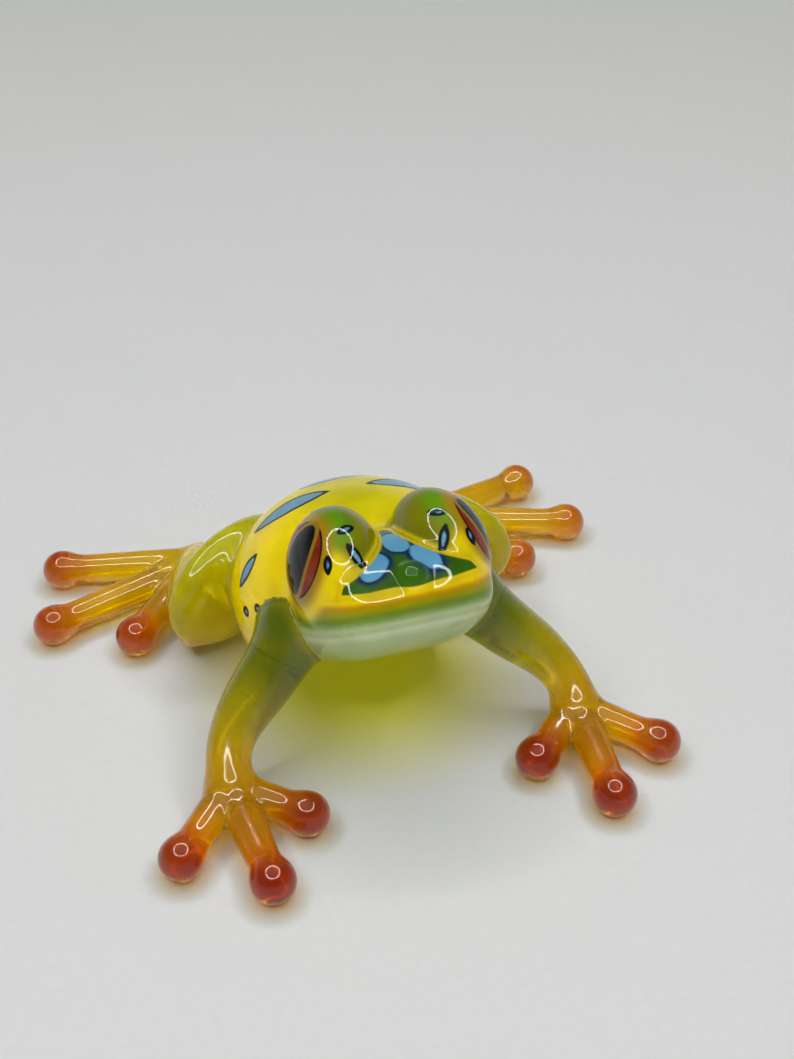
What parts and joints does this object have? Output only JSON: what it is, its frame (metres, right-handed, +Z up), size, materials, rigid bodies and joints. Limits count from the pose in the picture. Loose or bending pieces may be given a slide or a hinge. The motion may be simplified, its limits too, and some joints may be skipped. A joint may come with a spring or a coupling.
{
  "type": "frog figurine",
  "caption": "Small glass frog figurine, sitting low on spread legs with ball-tipped toes, with a clear cased spotted body, domed eyes and a wedge-shaped head.",
  "frame": {"origin": "centre of the footprint on the resting plane", "axes": "+Z up, the frog faces -Y and its left side is +X"},
  "size_m": [0.0796, 0.0693, 0.0333],
  "materials": {
    "clear_glass": "clear, polished",
    "yellow_glass": "opaque golden yellow, polished",
    "pale_glass": "milky pale green, polished",
    "blue_glass": "opaque steel blue, polished",
    "olive_glass": "translucent olive yellow, polished",
    "green_glass": "deep green, polished",
    "red_glass": "opaque red-orange, polished",
    "black_glass": "opaque black, polished",
    "amber_glass": "translucent amber, darker to the toe tips, polished"
  },
  "bodies": {
    "root": {"back_chips": "blue_glass", "belly": "pale_glass", "eye_dome_left": "olive_glass", "eye_dome_right": "olive_glass", "eye_iris_left": "red_glass", "eye_iris_right": "red_glass", "eye_pupil_left": "black_glass", "eye_pupil_right": "black_glass", "foot_left": "amber_glass", "foot_right": "amber_glass", "foreleg_left": "olive_glass", "foreleg_right": "olive_glass", "front_toe_inner_left": "amber_glass", "front_toe_inner_right": "amber_glass", "front_toe_middle_left": "amber_glass", "front_toe_middle_right": "amber_glass", "front_toe_outer_left": "amber_glass", "front_toe_outer_right": "amber_glass", "hand_left": "amber_glass", "hand_right": "amber_glass", "head": "olive_glass", "hind_toe_front_left": "amber_glass", "hind_toe_front_right": "amber_glass", "hind_toe_middle_left": "amber_glass", "hind_toe_middle_right": "amber_glass", "hind_toe_rear_left": "amber_glass", "hind_toe_rear_right": "amber_glass", "jaw": "pale_glass", "nose_bead": "clear_glass", "shank_left": "olive_glass", "shank_right": "olive_glass", "snout_chips": "blue_glass", "snout_lens": "clear_glass", "snout_patch": "green_glass", "thigh_left": "olive_glass", "thigh_right": "olive_glass", "torso_casing": "clear_glass", "torso_core": "yellow_glass"}
  },
  "joints": []
}
